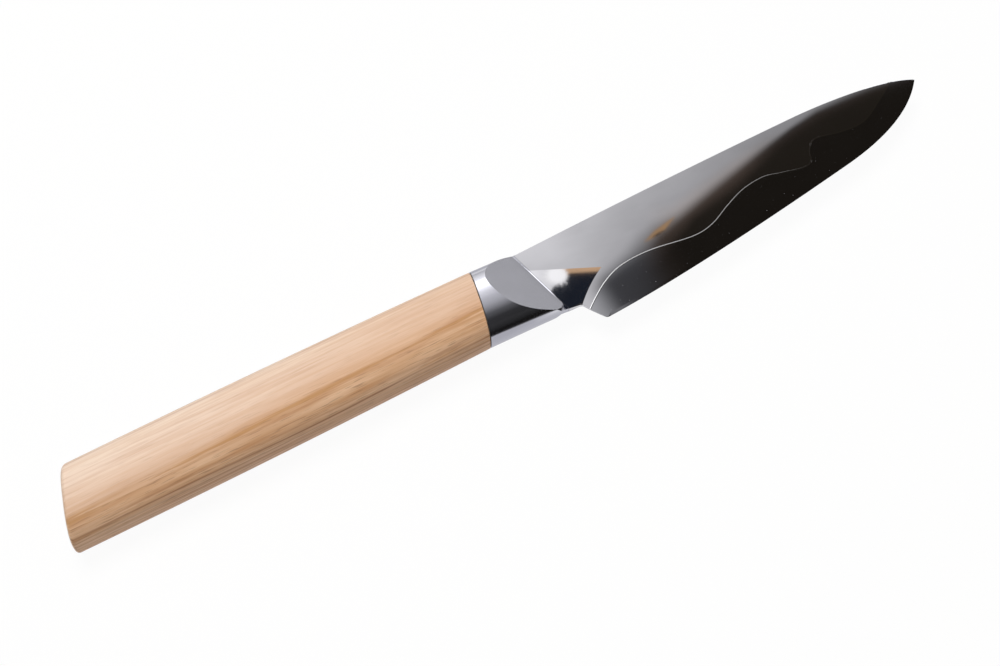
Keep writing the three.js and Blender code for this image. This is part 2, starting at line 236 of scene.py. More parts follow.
# pale open-grained wood: the rings lie level round a heart under the handle, so the top shows broad cream
# and the flanks show close lines, and the top is painted paler still as a painted sheen; lateWood is how
# dark a ring's line is at each distance from the heart
wood = dict(
    heart=(1.0, -44.0), lean=0.004, wander=2.5, back=(3, 8), backWander=1.6, backFading=0.85,
    acrossFlow=0.2, ringWidth=1.42, lineAt=49.1, lineWidth=(0.04, 0.36), lineWander=0.6, lateStreak=0.5,
    lateWood=[(44.5, 0.5), (46.3, 0.6), (47.7, 0.4), (49.1, 0.75), (50.5, 0.3), (52.0, 0.12), (54.0, 0.05)],
    creamEdge=(-2.6, 6.4), tanEdge=(-6.8, 0.4), edgeWander=2.6, edgeBands=5.0, bandDark=(0.4, 0.66),
    warmAt=-3.6, warmWidth=(0.2, 1.5), warmSway=0.5, warmClimb=0.02, warmFade=(0.5, 7.0), fadeSway=0.6,
    blushAlong=(-110, -10), tanAlong=(-80, 0), flankAlong=(-100, 0), flankAt=4.0, flankWidth=(1.5, 4),
    fibreDark=(0.45, 0.75), endFacing=(0.7, 0.95), rough=0.38, roughFibre=0.14, bump=0.12,
    bumpHeight=0.00012,
    grain=dict(   # sizes along, across and up the handle
        wander=dict(sizes=(70, 12, 12)),
        backWander=dict(sizes=(90, 3, 3)),
        streak=dict(sizes=(24, 0.7, 0.7), detail=3.0, fade=(0.36, 0.64)),
        fibre=dict(sizes=(14, 0.3, 0.3), detail=3.0, roughness=0.6),
        broad=dict(sizes=(60, 5.0, 5.0), fade=(0.3, 0.7)),
        bands=dict(sizes=(52, 0.9, 1.6), detail=3.0, roughness=0.6),
        comeAndGo=dict(sizes=(160, 1.7, 30), detail=1.0, fade=(0.38, 0.62)),
        patches=dict(sizes=(30, 0.9, 0.9), fade=(0.42, 0.6)),
        pores=dict(sizes=(5.0, 0.26, 0.26), detail=1.0, fade=(0.58, 0.72))),
    shares=dict(   # how far each covers what is below it, and how much less in the cream
        blush=0.55, creamStreak=0.42, creamBroad=0.2, tanStreak=0.45, tanBands=0.55, bolsterTan=0.27,
        bolsterFlank=0.5, fade=0.34, warm=0.75, fibre=0.32, creamFibre=0.18, pores=0.9, creamPores=0.65,
        poreTone=0.44, endGrainSheen=0.5),
    relief=dict(fibre=0.6, pores=0.9, late=0.25),
    tones=dict(
        cream="E5CFBB", blush="DBBEA7", creamDark="CBA485", tan="E0BA97", tanDark="C39165", orange="BA8850",
        late="8D4F2B", pore="744C2E", endGrainSheen="E6CEB8"))


def woodFinish(w):
    material, wire = newMaterial("paleWood")
    grain, share, relief = w["grain"], w["shares"], w["relief"]
    tones = {name: colour(text) for name, text in w["tones"].items()}
    at = place(wire)
    x, y, z = at.split()
    wander = at.noise(**grain["wander"]) - 0.5
    back = y.smoothstep(*w["back"])   # the side away from the edge, with rings that come and go
    toHeart = ((y - w["heart"][0]) ** 2.0 + (z - w["heart"][1]) ** 2.0).apply("SQRT")
    toHeart = toHeart + x * w["lean"] + wander * w["wander"]
    toHeart = toHeart + back * (at.noise(**grain["backWander"]) - 0.5) * w["backWander"]
    streak = at.noise(**grain["streak"])
    fibre = at.noise(**grain["fibre"])
    flow = wire.join(x, toHeart, y * w["acrossFlow"])   # streaks that keep to the rings
    bands = flow.noise(**grain["bands"])

    # the dark line of each ring
    ring = (toHeart - w["lineAt"]) / w["ringWidth"] + 0.5
    fromLine = (ring.apply("FRACT") - 0.5).apply("ABSOLUTE") * w["ringWidth"]
    fromLine = fromLine + (bands - 0.5) * w["lineWander"]
    late = (1 - fromLine.smoothstep(*w["lineWidth"])) * toHeart.ramp(w["lateWood"])
    late = late * (1 - w["lateStreak"] + streak * w["lateStreak"])
    late = late * (1 - back * (1 - flow.noise(**grain["comeAndGo"])) * w["backFading"])

    # cream above and tan below, warmer towards the bolster: the pale upper side is partly the wood's own
    # tone and partly painted sheen, the tan lower side partly painted shade
    height = y - x * w["warmClimb"]
    sway = wander * w["edgeWander"] + (bands - 0.5) * w["edgeBands"]
    # the upper side painted paler: pale wood there, and a painted sheen
    sapAndSheen = (height + sway).smoothstep(*w["tanEdge"])
    blush = wire.blend(x.smoothstep(*w["blushAlong"]) * share["blush"], tones["blush"], tones["creamDark"])
    cream = wire.blend((height + sway).smoothstep(*w["creamEdge"]), blush, tones["cream"])
    darker = streak * share["creamStreak"] + at.noise(**grain["broad"]) * share["creamBroad"]
    cream = wire.blend(darker, cream, tones["creamDark"])
    darker = streak * share["tanStreak"] + bands.smoothstep(*w["bandDark"]) * share["tanBands"]
    tan = wire.blend(darker, tones["tan"], tones["tanDark"])
    flank = 1 - (height - w["flankAt"]).apply("ABSOLUTE").smoothstep(*w["flankWidth"])
    flank = x.smoothstep(*w["flankAlong"]) * flank * share["bolsterFlank"]
    cream = wire.blend(x.smoothstep(*w["tanAlong"]) * share["bolsterTan"], cream, tan)
    cream = wire.blend(flank, cream, tones["creamDark"])
    # darker towards the lower side: partly the warm streak's colour, partly painted shade
    fade = 1 - (height - w["warmAt"] + sway * w["fadeSway"]).smoothstep(*w["warmFade"])
    cream = wire.blend(fade * share["fade"], cream, tones["tanDark"])   # the warm streak thins out upward, and below it the cream is darkened as painted shade
    tone = wire.blend(sapAndSheen, tan, cream)

    # the warm streak, the rings, fibres and pores, and the butt's end face painted paler: end-grain tone
    # and a painted highlight
    warm = 1 - (height - w["warmAt"] + sway * w["warmSway"]).apply("ABSOLUTE").smoothstep(*w["warmWidth"])
    warm = warm * at.noise(**grain["patches"]) * share["warm"]
    tone = wire.blend(warm, tone, tones["orange"])
    tone = wire.blend(late, tone, tones["late"])
    darker = fibre.smoothstep(*w["fibreDark"]) * (share["fibre"] - sapAndSheen * share["creamFibre"])
    tone = wire.blend(darker, tone, tones["tanDark"])
    pores = at.noise(**grain["pores"]) * (share["pores"] - sapAndSheen * share["creamPores"])
    tone = wire.blend(pores * share["poreTone"], tone, tones["pore"])
    # the end face painted paler where it faces along the handle: end-grain tone and a painted highlight
    along = wire.node("ShaderNodeTexCoord", None, None, "Normal").split()[0]
    facing = along.apply("ABSOLUTE").smoothstep(*w["endFacing"])
    tone = wire.blend(facing * share["endGrainSheen"], tone, tones["endGrainSheen"])
    bump = wire.node("ShaderNodeBump", None, {
        "Strength": w["bump"], "Distance": w["bumpHeight"],
        "Height": fibre * relief["fibre"] - pores * relief["pores"] - late * relief["late"]})
    finish(wire, {"Base Color": tone, "Roughness": w["rough"] + fibre * w["roughFibre"], "Normal": bump})
    return material


# steels: how they were ground and polished
steels = dict(
    polishedSteel=dict(tint="D9D8DB", rough=0.020, haze=0.012, grind=(0.35, 9.0, 9.0), depth=0.0),
    satinSteel=dict(tint="B6B6BA", rough=0.028, haze=0.014, grind=(6.0, 0.30, 6.0), depth=0.002,
                    specks=0.25),
    bolsterSteel=dict(tint="CCCCD4", rough=0.105, haze=0.075, grind=(5.0, 0.35, 0.35), depth=0.012,
                      smoothFront=0.03, smoothReach=(0.1, 1.4)),
    brazeMetal=dict(tint="E4E4E4", rough=0.055, haze=0.03, grind=(1.2, 1.2, 1.2), depth=0.02,
                    clearer=(92, 116)))
# what all of them share: clouds in the polish, specks, and the scratches of grinding
polish = dict(
    cloud=dict(sizes=(14, 6, 6)), specks=dict(sizes=(0.30, 0.30, 0.30), detail=0.0, fade=(0.845, 0.885)),
    scratchDetail=4.0, scratchRoughness=0.65, scratchShare=0.6, scratchHeight=0.00005,
    dullness=0.95, dullFade=(0.35, 0.65))


def steelFinish(name, s, p):
    material, wire = newMaterial(name)
    at = place(wire)
    x, y, _ = at.split()
    scratches = at.noise(s["grind"], p["scratchDetail"], p["scratchRoughness"])
    cloud = at.noise(**p["cloud"])
    haze = scratches * p["scratchShare"] + cloud * (1 - p["scratchShare"])
    rough = s["rough"] + s["haze"] * haze + at.noise(**p["specks"]) * s.get("specks", 0.0)
    tint = colour(s["tint"])
    dull = tuple(c * p["dullness"] for c in tint[:3]) + (1.0,)
    tone = wire.blend(cloud.smoothstep(*p["dullFade"]), tint, dull)
    bump = wire.node("ShaderNodeBump", None, {
        "Strength": s["depth"], "Distance": p["scratchHeight"], "Height": scratches})
    if "clearer" in s:   # buffed with the blade toward the tip
        rough = rough + (steels["polishedSteel"]["rough"] - rough) * x.smoothstep(*s["clearer"])
    if "smoothFront" in s:   # the hollow at the shoulder is polished with the blade
        behind = (x - shoulderTop[0]) * behindShoulder[0] + (y - shoulderTop[1]) * behindShoulder[1]
        rough = s["smoothFront"] + (rough - s["smoothFront"]) * behind.smoothstep(*s["smoothReach"])
    finish(wire, {"Base Color": tone, "Metallic": 1.0, "Roughness": rough.clamped(), "Normal": bump})
    return material


glue = dict(
    dark="43382F", light="6A5A4C", grain=dict(sizes=(0.6, 0.6, 0.6), detail=3.0), rough=0.4, roughGrain=0.2)


def glueFinish(g):
    material, wire = newMaterial("darkGlue")
    grain = place(wire).noise(**g["grain"])
    tone = wire.blend(grain, colour(g["dark"]), colour(g["light"]))
    finish(wire, {"Base Color": tone, "Roughness": g["rough"] + grain * g["roughGrain"]})
    return material


def settle(obj, node):
    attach(obj, "root")
    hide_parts(node)


def weld(mesh, sharpFrom):   # and shade it smooth, but for edges that turn by more than this many degrees
    solid = bmesh.new()
    solid.from_mesh(mesh)
    bmesh.ops.remove_doubles(solid, verts=solid.verts, dist=weldReach)
    bmesh.ops.dissolve_degenerate(solid, edges=solid.edges, dist=weldReach)
    bmesh.ops.recalc_face_normals(solid, faces=solid.faces)
    bmesh.ops.triangulate(solid, faces=[f for f in solid.faces if len(f.verts) > 4], ngon_method="BEAUTY")
    solid.to_mesh(mesh)
    solid.free()
    mesh.shade_smooth()
    mesh.set_sharp_from_angle(angle=math.radians(sharpFrom))


def newTree(name, sizes):
    tree = bpy.data.node_groups.new(name, "GeometryNodeTree")
    for way in ("INPUT", "OUTPUT"):
        tree.interface.new_socket("Geometry", in_out=way, socket_type="NodeSocketGeometry")
    for label in sizes:
        tree.interface.new_socket(label, in_out="INPUT", socket_type="NodeSocketFloat")
    entry = tree.nodes.new("NodeGroupInput")
    return tree, Wire(tree), {s.name: Wire(tree, s) for s in entry.outputs if s.name}


def closeTree(wire, geometry, material):
    whole = wire.node("GeometryNodeRealizeInstances", None, {"Geometry": geometry})
    painted = wire.node("GeometryNodeSetMaterial", None, {"Geometry": whole, "Material": material})
    wire.node("NodeGroupOutput", None, {"Geometry": painted})


def grow(name, mesh, tree, sizes, sharpFrom):   # a geometry tree's work on a mesh, kept as a plain mesh
    seed = newObject(name + "Seed", mesh)
    modifier = seed.modifiers.new("nodes", "NODES")
    modifier.node_group = tree
    for socket in tree.interface.items_tree:
        if socket.in_out == "INPUT" and socket.name in sizes:
            modifier[socket.identifier] = float(sizes[socket.name])
    grown = bpy.data.meshes.new_from_object(seed.evaluated_get(bpy.context.evaluated_depsgraph_get()))
    bpy.data.objects.remove(seed)
    grown.name = name
    weld(grown, sharpFrom)
    return newObject(name, grown)


# wooden handle: a soft oval that swells to the belly, with a crowned and slanted butt
handle = {
    "Length": 115.7, "Butt Height": 21.2, "Butt Width": 17.4, "Belly Height": 21.25, "Belly Width": 17.5,
    "Joint Height": 19.9, "Joint Width": 16.3, "Oval Power": 2.5, "Joint Angle": 11.2, "Butt Angle": 16.5,
    "Butt Crown": 0.7, "Butt Rounding": 1.2, "Glue Film": 0.3}
handleMesh = dict(rings=200, sides=200, crownEnd=0.08, roundEnd=0.16, lengthEnd=0.94, sharpFrom=50)


def makeHandle(h, m):
    tree, wire, size = newTree("ovalHandle", h)
    grid = wire.node("GeometryNodeMeshGrid", None, {
        "Size X": 1.0, "Size Y": 1.0, "Vertices X": m["rings"] + 1, "Vertices Y": m["sides"] + 1})
    across, around, _ = wire.node("GeometryNodeInputPosition").split()
    u, angle = across + 0.5, (around + 0.5) * (2 * math.pi)
    share = (u / m["crownEnd"]).clamped()
    turn = ((u - m["crownEnd"]) / (m["roundEnd"] - m["crownEnd"])).clamped() * (math.pi / 2)
    s = ((u - m["roundEnd"]) / (m["lengthEnd"] - m["roundEnd"])).clamped()
    opening = 1 - ((u - m["lengthEnd"]) / (1 - m["lengthEnd"])).clamped()   # closes to a point at the joint
    inset = size["Butt Rounding"] * (1 - turn.apply("SINE"))
    offset = size["Butt Rounding"] * turn.apply("COSINE") + size["Butt Crown"] * (1 - share * share)

    def through(what):   # a smooth run through butt, belly and joint
        butt, belly, joint = (size[f"{part} {what}"] for part in ("Butt", "Belly", "Joint"))
        return butt * (1 - s) * (1 - 2 * s) + belly * 4 * s * (1 - s) + joint * s * (2 * s - 1)

    def bulge(value):
        return value.apply("SIGN") * value.apply("ABSOLUTE") ** (2 / size["Oval Power"])

    def tangent(label):
        return (size[label] * (math.pi / 180)).apply("TANGENT")

    y = (through("Height") / 2 - inset) * share * opening * bulge(angle.apply("COSINE"))
    z = (through("Width") / 2 - inset) * share * opening * bulge(angle.apply("SINE"))
    butt = y * tangent("Butt Angle") - offset
    butt = butt - size["Length"] + size["Butt Rounding"] + size["Butt Crown"]
    joint = y * tangent("Joint Angle") - size["Glue Film"]
    x = butt + (joint - butt) * s
    point = wire.node("ShaderNodeVectorMath", dict(operation="MULTIPLY_ADD"), {
        0: wire.join(x, y, z), 1: (0.001, 0.001, 0.001), 2: tuple(origin / 1000)})
    skin = wire.node("GeometryNodeSetPosition", None, {"Geometry": grid, "Position": point})
    skin = wire.node("GeometryNodeMergeByDistance", None, {"Geometry": skin, "Distance": weldReach})
    closeTree(wire, skin, paleWood)
    obj = grow("handleWood", bpy.data.meshes.new("handleWood"), tree, h, m["sharpFrom"])
    settle(obj, "wood_handle")


# blade outline and thickness
blade = dict(
    tip=(knife["tipAlong"], 5.26), heel=(28.0, -17.55), chin=(23.7, -10.95), shoulderTop=(14.6, 9.45),
    shoulderFoot=(20.2, -10.95), crest=(103.3, knife["spineCrest"]), crestReach=1.8, noseReach=9.4,
    noseHeight=10.55, heelAngle=2.0, bellyStart=(108.1, -8.7), bellyAngle=8.5, tipAngle=50.0,
    chinRounding=0.6, heelRounding=0.9, heelSpine=1.8, heelEdge=0.32, tipSpine=0.75, bevelHeight=0.8,
    edgeLand=0.04, plungeHead=(33.9, -4.2), plungeBow=0.94, runOutHeight=3.9, chinRise=0.48,
    chinEasing=0.37, chinFall=0.76, easing=0.14, easingGrowth=0.3, easingLimit=0.8, heelEasing=0.22,
    shoulderEasing=0.02, hollow=0.5, hollowFoot=0.15, gap=0.05, seamGap=0.008, longSteps=72, shortSteps=48,
    plungeSteps=7, cornerSteps=8, rimTurns=[90, 60, 30, 0], sharpFrom=1)
wave = dict(
    width=0.35, crown=0.0075, fadeEnd=0.78, heelCrown=0.012, heelReach=0.05, levelEnd=0.5, endInset=0.16,
    start=0.37, end=0.94, steps=330, beadPoints=24, beadFlatness=1.3, sharpFrom=50,
    crests=[
        (0.006, 0.242), (0.04, 0.324), (0.082, 0.386), (0.13, 0.403), (0.19, 0.379), (0.288, 0.285),
        (0.345, 0.294), (0.403, 0.387), (0.459, 0.461), (0.519, 0.469), (0.566, 0.395), (0.618, 0.309),
        (0.645, 0.319), (0.656, 0.442), (0.674, 0.548), (0.7, 0.564), (0.761, 0.466), (0.822, 0.426),
        (0.881, 0.595)])
b = {k: np.array(v, float) if isinstance(v, tuple) else v for k, v in blade.items()}
tip, heel, chin, crest = (b[k] for k in ("tip", "heel", "chin", "crest"))
shoulderTop, shoulderFoot, plungeHead = b["shoulderTop"], b["shoulderFoot"], b["plungeHead"]


def unit(v):
    return v / np.linalg.norm(v, axis=-1, keepdims=True)


def leftOf(v):
    return np.stack([-v[..., 1], v[..., 0]], -1)


def cross(a, c):
    return a[..., 0] * c[..., 1] - a[..., 1] * c[..., 0]


def bezier(controls, steps):
    t = np.linspace(0, 1, steps + 1)[:, None]
    controls = [np.asarray(c, float) for c in controls]
    while len(controls) > 1:
        controls = [p * (1 - t) + q * t for p, q in zip(controls, controls[1:])]
    return controls[0]


def between(start, startAngle, end, endAngle, steps):
    rise, endRise = slope(startAngle), slope(endAngle)
    along = (end[1] - start[1] + rise * start[0] - endRise * end[0]) / (rise - endRise)
    return bezier([start, (along, start[1] + rise * (along - start[0])), end], steps)


def roundedCorner(before, corner, after, radius):
    leave = corner + unit(before - corner) * radius
    meet = corner + unit(after - corner) * radius
    return bezier([leave, corner, meet], b["cornerSteps"])


def within(line, low, high):   # in places along the blade
    return line[(line[:, 0] > low) & (line[:, 0] < high)]


def outward(loop):   # the way out at each point of a closed line, longer where it turns
    sense = np.sign(cross(loop, np.roll(loop, -1, 0)).sum())
    along = unit(np.roll(loop, -1, 0) - loop)
    normals = leftOf(along) * -sense
    both = np.roll(normals, 1, 0) + normals
    return both / np.maximum((both ** 2).sum(1, keepdims=True) / 2, 0.5)


spineMiddle = ((shoulderTop[0] + crest[0]) / 2, crest[1])
noseControl = (tip[0] - b["noseReach"], b["noseHeight"])
spineBack = bezier([shoulderTop, spineMiddle, crest], b["longSteps"])
spineNose = bezier([crest, crest + (b["crestReach"], 0), noseControl, tip], b["shortSteps"])
spineLine = np.vstack([spineBack, spineNose[1:]])
edgeLine = np.vstack([
    between(heel, b["heelAngle"], b["bellyStart"], b["bellyAngle"], b["longSteps"]),
    between(b["bellyStart"], b["bellyAngle"], tip, b["tipAngle"], b["shortSteps"])[1:]])


def spineAt(x):
    return np.interp(x, spineLine[:, 0], spineLine[:, 1])


spineAtHeel = spineAt(heel[0])
bladeLength = tip[0] - heel[0]
thinningDown = (b["heelSpine"] - b["heelEdge"]) / 2 / (spineAtHeel - heel[1])
thinnerAtTip = (b["heelSpine"] - b["tipSpine"]) / 2 - thinningDown * (spineAtHeel - tip[1])
thinningAlong = thinnerAtTip / bladeLength


def sideHeight(p):
    down, along = spineAtHeel - p[..., 1], p[..., 0] - heel[0]
    return b["heelSpine"] / 2 - thinningDown * down - thinningAlong * along


plungeFoot = roundedCorner(shoulderFoot, chin, heel, b["chinRounding"])[b["cornerSteps"] // 2]
shoulderRun = shoulderFoot - shoulderTop
runOut = shoulderTop + shoulderRun * (shoulderTop[1] - b["runOutHeight"]) / -shoulderRun[1]
runOutLine = unit(runOut - plungeHead)
alongShoulder = unit(shoulderRun)
behindShoulder = -leftOf(alongShoulder)
heelBack = unit(heel - chin)


def ahead(p, direction, distance):   # where a line through p lies this far in front of the shoulder
    return p - np.asarray(direction) * distance / np.dot(direction, behindShoulder)


def belowRunOut(p):
    return cross(runOutLine, p - plungeHead)


def chinPlane(p):
    return sideHeight(p) + b["chinRise"] * belowRunOut(p) / belowRunOut(plungeFoot)


def facetHeight(p):   # the plane of the facet at the chin, and the blade's side above it
    return np.maximum(chinPlane(p), sideHeight(p))


def smoothLine(points, steps):   # a smooth line through points, and its direction
    t = np.linspace(0, len(points) - 1, steps + 1)
    k = np.minimum(t.astype(int), len(points) - 2)
    f = (t - k)[:, None]
    p0, p1 = points[np.maximum(k - 1, 0)], points[k]
    p2, p3 = points[k + 1], points[np.minimum(k + 2, len(points) - 1)]
    m1, m2 = (p2 - p0) / 2, (p3 - p1) / 2
    cubic, square = 2 * p1 - 2 * p2 + m1 + m2, -3 * p1 + 3 * p2 - 2 * m1 - m2
    line = cubic * f ** 3 + square * f ** 2 + m1 * f + p1
    return line, unit(cubic * 3 * f ** 2 + square * 2 * f + m1)


crestPlaces = np.array(wave["crests"])
crestAlong = heel[0] + crestPlaces[:, 0] * bladeLength
crestLow = np.interp(crestAlong, edgeLine[:, 0], edgeLine[:, 1])
crestHeights = crestLow + (spineAt(crestAlong) - crestLow) * crestPlaces[:, 1]
waveEndAlong = heel[0] + wave["end"] * bladeLength
waveLine, waveDirection = smoothLine(np.vstack([
    chin + (heel - chin) * wave["start"],
    np.column_stack([crestAlong, crestHeights]),
    (waveEndAlong, spineAt(waveEndAlong))]), wave["steps"])


def waveBeside(distance):   # the wave moved sideways, its ends kept on the heel's back and on the spine
    points = waveLine + leftOf(waveDirection) * distance
    points[0] = chin + heelBack * np.dot(points[0] - chin, heelBack)
    points[-1, 1] = spineAt(points[-1, 0])
    return points


paleWood = woodFinish(wood)
metals = {name: steelFinish(name, s, polish) for name, s in steels.items()}
darkGlue = glueFinish(glue)
print("finishes made")


def easedPlate(name, outline, inner, panels, heightOf, innerHeights, easing, fall, material):
    # a plate alike above and below: panels are loops of places in outline and inner, and the rim is rounded
    count = len(outline)
    wall = count * (len(b["rimTurns"]) - 1)
    inward = -outward(outline)
    easing, fall = (np.minimum(v, heightOf(outline) * b["easingLimit"]) for v in (easing, fall))
    heights = heightOf(outline + inward * easing[:, None])
    bands = []
    for turn in np.radians(b["rimTurns"]):   # from the flat face round to the wall
        back, drop = easing * (1 - math.cos(turn)), fall * (1 - math.sin(turn))
        bands.append(np.column_stack([outline + inward * back[:, None], heights - drop]))
    upper = np.vstack([*bands, np.column_stack([inner, innerHeights])])
    points = np.vstack([upper, upper * (1, 1, -1)])
    low = len(upper)
    spots = [*range(count), *(len(bands) * count + k for k in range(len(inner)))]
    faces = [[spots[k] for k in panel] for panel in panels]
    following = np.roll(np.arange(count), -1).tolist()
    for start in range(0, wall, count):
        for i, j in enumerate(following):
            faces.append([start + count + i, start + count + j, start + j, start + i])
    faces += [[low + k for k in reversed(face)] for face in faces]
    faces += [[low + wall + i, low + wall + j, wall + j, wall + i] for i, j in enumerate(following)]
    mesh = newMesh(name, toFrame(points), faces, material)
    weld(mesh, b["sharpFrom"])   # each flat keeps its own one normal
    return newObject(name, mesh)


def makeBladeBody():
    seam = waveBeside(wave["width"] / 2 + b["seamGap"])
    front = ahead(shoulderTop, spineLine[1] - spineLine[0], b["hollow"])
    spine = within(spineLine, front[0] + b["gap"], seam[-1, 0] - b["gap"])[::-1]
    neckFoot = ahead(shoulderFoot, (1, 0), b["hollowFoot"])
    neckRunOut = ahead(runOut, -runOutLine, b["hollow"])
    lowChin = chin + (heel - chin) * b["chinEasing"] / (chin - heel)[1]
    corner = roundedCorner(shoulderFoot, lowChin, heel, b["chinRounding"])
    outline = np.vstack([neckFoot, corner, seam, spine, front, neckRunOut])
    foot = 1 + len(corner) // 2
    seamStart, spineStart = 1 + len(corner), 1 + len(corner) + len(seam)
    head, last = len(outline), len(outline) - 1

    # the plunge, a bowed step from the chin's corner up to its head
    run = plungeHead - outline[foot]
    bow = unit(leftOf(run)) * b["plungeBow"]
    plunge = bezier([outline[foot], outline[foot] + run / 2 + bow, plungeHead], b["plungeSteps"])[1:-1]
    narrowing = np.linspace(1, 0, len(plunge) + 2)[1:-1, None]
    side = plunge + (outline[foot + 1] - outline[foot]) * narrowing
    upper = [foot, *range(head + 1, head + 1 + len(plunge)), head]
    lower = [foot + 1, *range(upper[-2] + 1, upper[-2] + 1 + len(side)), head]
    panels = [[*range(0, foot), *upper, last], [*range(foot + 2, last + 1), *reversed(lower)]]
    for k in range(len(upper) - 1):
        panels.append(list(dict.fromkeys([upper[k], lower[k], lower[k + 1], upper[k + 1]])))

    def heightOf(points):
        return np.where(np.arange(len(outline)) <= foot, chinPlane(points), sideHeight(points))

    fromEnd = np.linalg.norm(outline - seam[-1], axis=1)
    easing = np.minimum(b["easing"], fromEnd * b["easingGrowth"])   # nothing where seam and spine close in
    easing[foot:seamStart] = b["heelEasing"]
    easing[[0, last - 1, last]] = b["shoulderEasing"]
    easing[seamStart:spineStart] = 0.0
    fall = easing.copy()
    easing[1:foot + 1], fall[1:foot + 1] = b["chinEasing"], b["chinFall"]
    inner = np.vstack([plungeHead, plunge, side])
    innerHeights = [sideHeight(plungeHead), *chinPlane(plunge), *sideHeight(side)]
    obj = easedPlate(
        "bladeBody", outline, inner, panels, heightOf, innerHeights, easing, fall,
        metals["polishedSteel"])
    settle(obj, "blade_body")


def makeCuttingEdge():
    seam = waveBeside(-wave["width"] / 2 - b["seamGap"])[::-1]
    spine = within(spineLine, seam[0, 0] + b["gap"], tip[0])[::-1]
    corner = roundedCorner(chin, heel, edgeLine[1], b["heelRounding"])
    run = within(edgeLine, corner[-1, 0] + b["gap"], tip[0])
    land = np.vstack([corner[-1], run, tip])
    along = unit(land[2:] - land[:-2])
    shoulder = land[1:-1] + leftOf(along) * b["bevelHeight"]
    outline = np.vstack([seam, corner[:-1], land, spine])
    count, landStart = len(outline), len(seam) + len(corner) - 1
    landEnd = landStart + len(land) - 1
    onLand = np.isin(np.arange(count), range(landStart, landEnd + 1))

    def heightOf(points):
        return np.where(onLand, b["edgeLand"] / 2, sideHeight(points))

    easing = np.zeros(count)
    fromEnds = [np.linalg.norm(outline[landEnd + 1:] - end, axis=1) for end in (seam[0], tip)]
    easing[landEnd + 1:] = np.minimum(b["easing"], np.minimum(*fromEnds) * b["easingGrowth"])
    easing[len(seam):landStart] = b["heelEasing"]
    upperLine = [landStart, *(count + k for k in range(len(shoulder))), landEnd]
    panels = [[*range(0, landStart), *upperLine, *range(landEnd + 1, count)]]
    for k in range(len(land) - 1):   # the edge's bevel
        quad = [landStart + k, landStart + k + 1, upperLine[k + 1], upperLine[k]]
        panels.append(list(dict.fromkeys(quad)))
    obj = easedPlate(
        "cuttingEdge", outline, shoulder, panels, heightOf, sideHeight(shoulder), easing, easing,
        metals["satinSteel"])
    settle(obj, "cutting_edge")


def makeBrazeSeam():
    # a bead along the wave, nearly flush with the blade's sides: each point of its path carries how far the
    # bead is crowned and how level it lies there
    path = bpy.data.meshes.new("wavePath")
    line = np.column_stack([waveLine, np.zeros(len(waveLine))])
    line[-1, :2] -= waveDirection[-1] * wave["endInset"]   # its square end stays inside the spine
    path.from_pydata(toFrame(line).tolist(), [(i, i + 1) for i in range(len(line) - 1)], [])
    share = (waveLine[:, 0] - heel[0]) / bladeLength
    crown = wave["crown"] * np.clip(1 - share / wave["fadeEnd"], 0, 1)   # ground flat towards the tip
    crown += wave["heelCrown"] * np.exp(-share / wave["heelReach"])
    level = np.clip(1 - share / wave["levelEnd"], 0, 1)
    for name, values in (("crown", crown / 1000), ("level", level), ("half", sideHeight(waveLine) / 1000)):
        path.attributes.new(name, "FLOAT", "POINT").data.foreach_set("value", values.astype(np.float32))
    sizes = {
        "Width": wave["width"] / 1000, "Level": origin[2] / 1000,
        "Half Start": sideHeight(-origin[:2]) / 1000,
        "Half Along": -thinningAlong, "Half Across": thinningDown}
    tree, wire, size = newTree("waveBead", sizes)
    curve = wire.node("GeometryNodeMeshToCurve", None, {"Mesh": size["Geometry"]})
    curve = wire.node("GeometryNodeSetCurveNormal", dict(mode="Z_UP"), {"Curve": curve})
    ring = wire.node("GeometryNodeCurvePrimitiveCircle", dict(mode="RADIUS"), {
        "Resolution": wave["beadPoints"], "Radius": 1.0})
    turn = wire.node("GeometryNodeSplineParameter") * (2 * math.pi)
    across = (turn.apply("COSINE") * wave["beadFlatness"]).apply("MAXIMUM", -1.0).apply("MINIMUM", 1.0)
    ring = wire.node("GeometryNodeStoreNamedAttribute", dict(data_type="FLOAT", domain="POINT"), {
        "Geometry": ring, "Name": "rise", "Value": 1 - across * across})
    section = wire.join(across * size["Width"] / 2, turn.apply("SINE").apply("SIGN"), 0.0)
    ring = wire.node("GeometryNodeSetPosition", None, {"Geometry": ring, "Position": section})
    bead = wire.node("GeometryNodeCurveToMesh", None, {
        "Curve": curve, "Profile Curve": ring, "Fill Caps": True})
    rise, crown, level, middle = (
        wire.node("GeometryNodeInputNamedAttribute", dict(data_type="FLOAT"), {"Name": name})
        for name in ("rise", "crown", "level", "half"))
    x, y, z = wire.node("GeometryNodeInputPosition").split()
    half = size["Half Start"] + x * size["Half Along"] + y * size["Half Across"]
    half = half + (middle - half) * level
    z = size["Level"] + (z - size["Level"]) * (half + rise * crown)
    bead = wire.node("GeometryNodeSetPosition", None, {"Geometry": bead, "Position": wire.join(x, y, z)})
    closeTree(wire, bead, metals["brazeMetal"])
    obj = grow("brazeBead", path, tree, sizes, wave["sharpFrom"])
    settle(obj, "braze_seam")


makeHandle(handle, handleMesh)
print("handle made")
makeBladeBody()
makeCuttingEdge()
makeBrazeSeam()
print("blade made")

